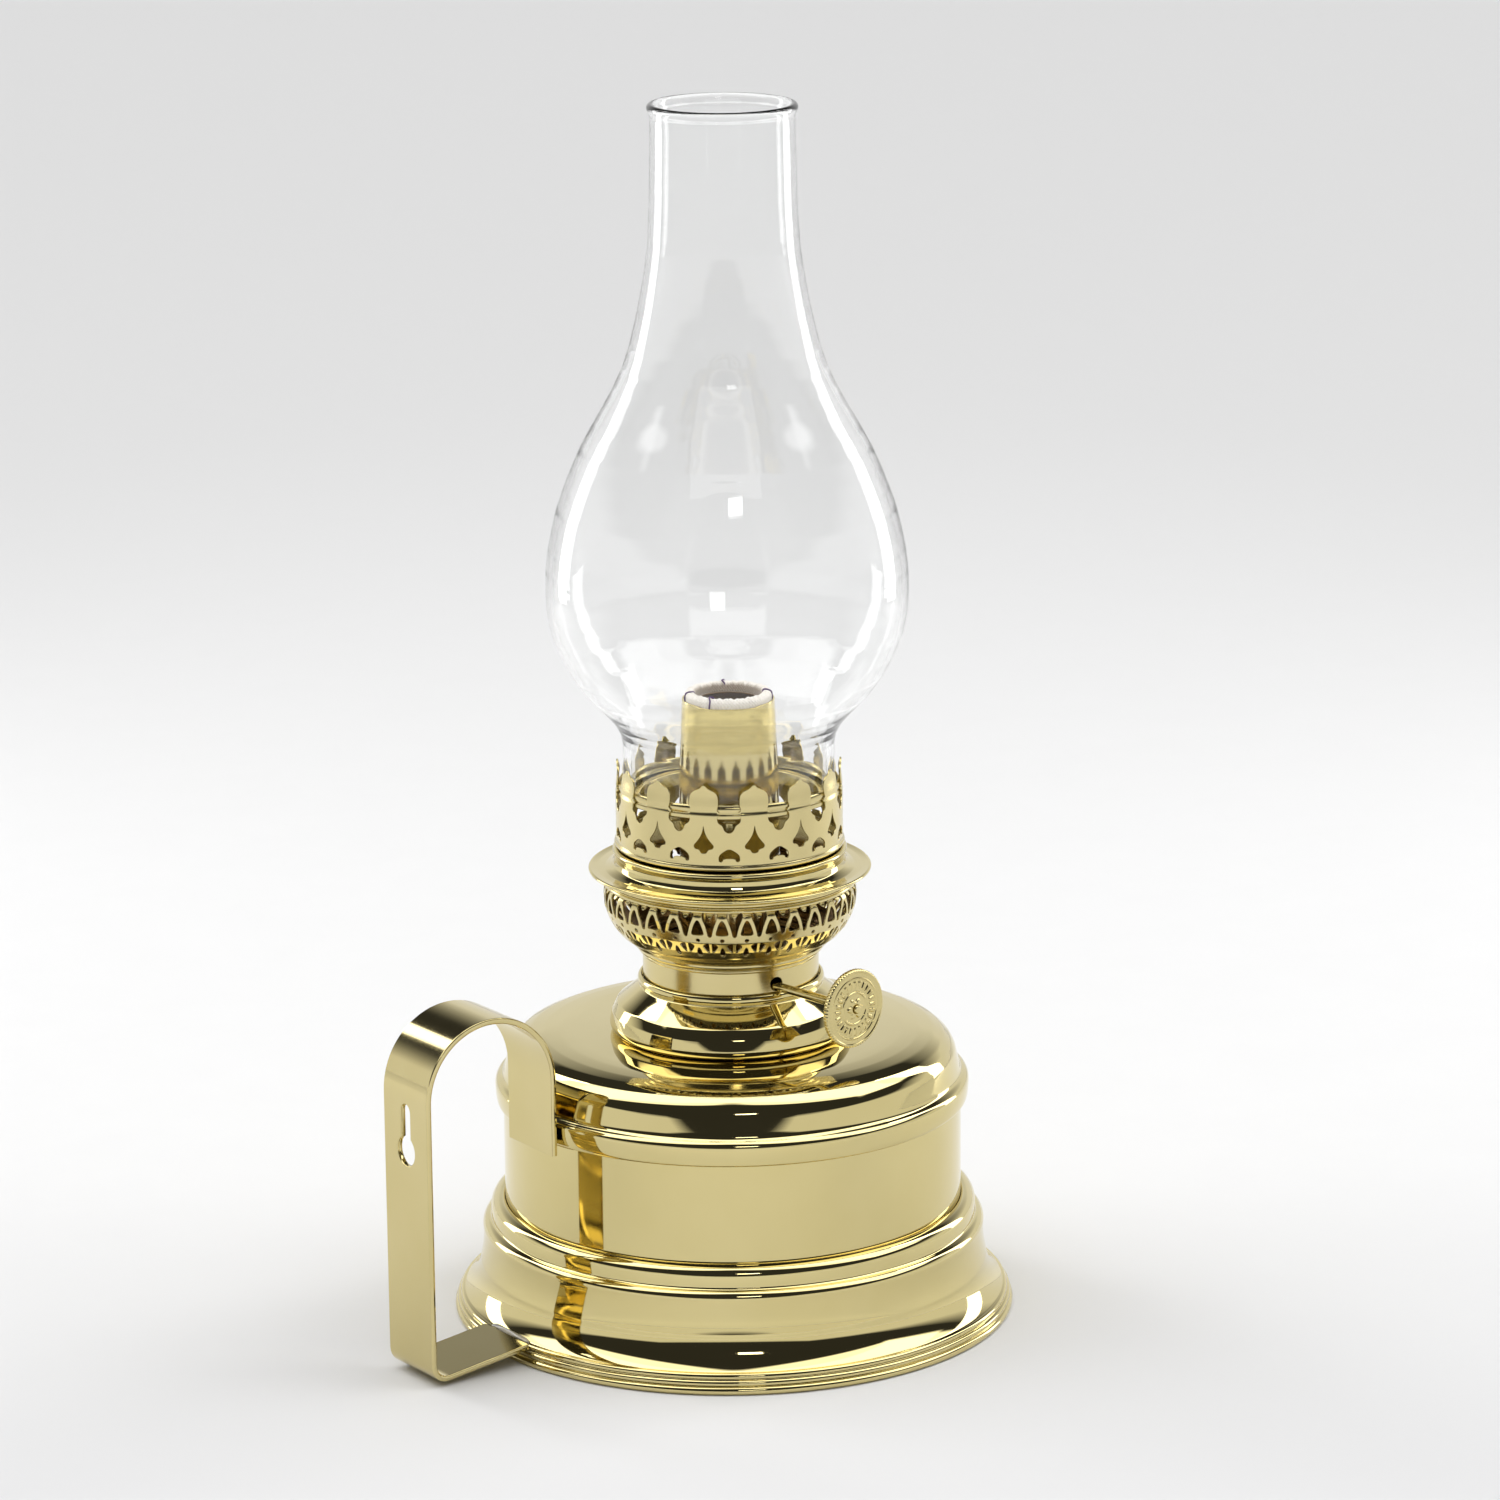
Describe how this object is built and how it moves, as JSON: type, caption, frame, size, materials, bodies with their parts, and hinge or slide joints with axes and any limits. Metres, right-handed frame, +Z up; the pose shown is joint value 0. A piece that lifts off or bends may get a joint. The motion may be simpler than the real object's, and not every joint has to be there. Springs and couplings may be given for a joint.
{
  "type": "oil lamp",
  "caption": "Brass oil lamp with round tank on a flared foot, strap handle with keyhole, round-wick burner with knob, pierced gallery and tall clear bulb chimney.",
  "frame": {"origin": "middle of the foot ring on the surface the lamp stands on, on the axis of tank, burner and chimney", "axes": "+Z up along the lamp's axis; the strap handle reaches out along -X; the wick knob is on the -Y side"},
  "size_m": [0.1665, 0.14, 0.3001],
  "materials": {
    "polished_brass": "mirror polished, lacquered",
    "satin_brass": "fine satin polish",
    "turned_brass": "turned and stamped brass",
    "solder": "dull grey soft solder",
    "seal_rubber": "matt black washer",
    "cotton": "woven cotton with coloured tracer threads",
    "clear_glass": "clear blown glass"
  },
  "bodies": {
    "tank": {"base_skirt": "polished_brass", "tank_wall": "polished_brass", "tank_bottom": "polished_brass", "tank_cover": "polished_brass", "tank_collar": "polished_brass", "collar_bush": "turned_brass", "handle_strap": "satin_brass", "handle_solder_top": "solder", "handle_solder_foot": "solder"},
    "burner": {"burner_thread": "turned_brass", "burner_seal": "seal_rubber", "burner_band": "polished_brass", "burner_basket": "satin_brass", "flange_ring": "satin_brass", "seat_ring": "polished_brass", "burner_floor": "polished_brass", "outer_wick_tube": "polished_brass", "inner_air_tube": "polished_brass", "air_duct": "polished_brass", "raiser_bracket": "turned_brass"},
    "knob": {"wick_shaft": "turned_brass", "wick_wheel": "turned_brass", "wick_knob": "turned_brass"},
    "wick": {"wick": "cotton"},
    "gallery": {"gallery_crown": "satin_brass", "crown_shelf": "polished_brass"},
    "chimney": {"chimney_glass": "clear_glass"}
  },
  "joints": [
    {"name": "burner_lift", "type": "slide", "parent": "tank", "child": "burner", "axis": [0, 0, 1], "range_m": [0, 0.075]},
    {"name": "gallery_lift", "type": "slide", "parent": "burner", "child": "gallery", "axis": [0, 0, 1], "range_m": [0, 0.045]},
    {"name": "chimney_lift", "type": "slide", "parent": "gallery", "child": "chimney", "axis": [0, 0, 1], "range_m": [0, 0.045]},
    {"name": "knob_turn", "type": "hinge", "parent": "burner", "child": "knob", "pos_m": [-0.005, 0, 0.0874], "axis": [0.1426, -0.9898, 0], "range_deg": [-88, 160]},
    {"name": "wick_travel", "type": "slide", "parent": "burner", "child": "wick", "axis": [0, 0, 1], "range_m": [-0.009, 0.005]}
  ],
  "couplings": [
    {"joint": "wick_travel", "follows": "knob_turn", "m_per_rad": -0.0032}
  ]
}
